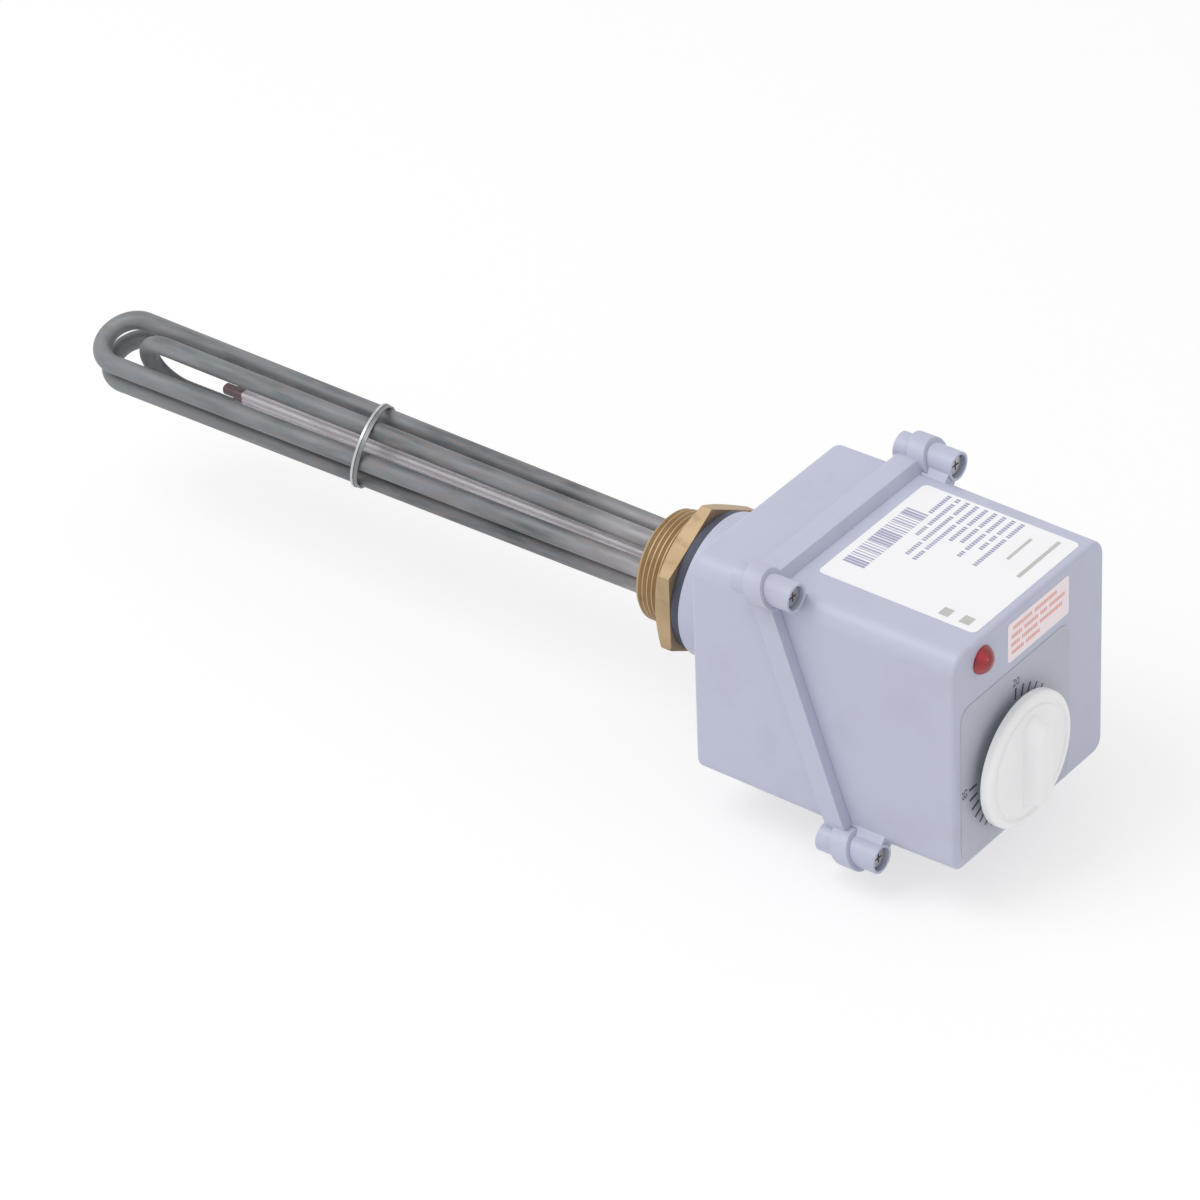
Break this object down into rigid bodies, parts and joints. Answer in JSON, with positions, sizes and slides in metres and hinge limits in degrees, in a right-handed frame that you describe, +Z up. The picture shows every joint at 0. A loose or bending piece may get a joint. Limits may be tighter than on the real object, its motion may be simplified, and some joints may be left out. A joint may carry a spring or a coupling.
{
  "type": "immersion heater",
  "caption": "Screw-in immersion heater: hairpin elements on a threaded brass plug, and a moulded housing with an adjusting knob, a pilot lamp and a cable gland.",
  "frame": {"origin": "on the screw axis, at the hexagon's sealing face against the tank", "axes": "+X along the screw axis from the elements towards the knob, +Z up to the labelled side"},
  "size_m": [0.4909, 0.1272, 0.1372],
  "materials": {
    "plug_brass": "turned brass, slightly dulled",
    "element_steel": "drawn steel tube with heat tint",
    "pocket_steel": "drawn steel tube",
    "band_steel": "rolled sheet",
    "gasket_fibre": "pressed fibre, dull",
    "fastener_steel": "zinc plated",
    "pin_steel": "bare",
    "ceramic": "unglazed ceramic",
    "housing_grey": "moulded, satin",
    "seal_black": "soft",
    "cover_screw_steel": "dark plated",
    "moulding_cream": "moulded",
    "zinc_sheet": "zinc plated sheet",
    "capillary_copper": "drawn copper",
    "knob_white": "moulded, smooth",
    "dial_grey": "printed plate",
    "lens_red": "clear red moulding",
    "gland_grey": "moulded"
  },
  "bodies": {
    "heater": {"screw_plug": "plug_brass", "plug_locknut": "plug_brass", "star_bridge": "plug_brass", "heating_element_upper": "element_steel", "heating_element_lower": "element_steel", "heating_element_cross": "element_steel", "sensor_pocket": "pocket_steel", "spacer_band": "band_steel", "plug_gasket": "gasket_fibre", "earth_screw": "fastener_steel", "terminal_nuts": "fastener_steel", "terminal_clamp_screws": "fastener_steel", "terminal_block_screws": "fastener_steel", "limiter_bracket_screws": "fastener_steel", "regulator_screws": "fastener_steel", "terminal_pins": "pin_steel", "terminal_beads": "ceramic", "rear_housing": "housing_grey", "front_cover": "housing_grey", "cover_seal": "seal_black", "gland_seal": "seal_black", "cover_screws": "cover_screw_steel", "terminal_block": "moulding_cream", "limiter_body": "moulding_cream", "regulator_body": "moulding_cream", "lamp_body": "moulding_cream", "limiter_bracket": "zinc_sheet", "lamp_clip": "zinc_sheet", "limiter_bulb": "capillary_copper", "regulator_bulb": "capillary_copper", "dial_plate": "dial_grey", "lamp_lens": "lens_red", "gland_body": "gland_grey", "gland_nut": "gland_grey", "gland_locknut": "gland_grey"},
    "knob": {"adjusting_knob": "knob_white", "regulator_spindle": "fastener_steel"}
  },
  "joints": [
    {"name": "knob_turn", "type": "hinge", "parent": "heater", "child": "knob", "pos_m": [0.16, -0.0126, -0.0155], "axis": [-1, 0, 0], "range_deg": [0, 270]}
  ]
}
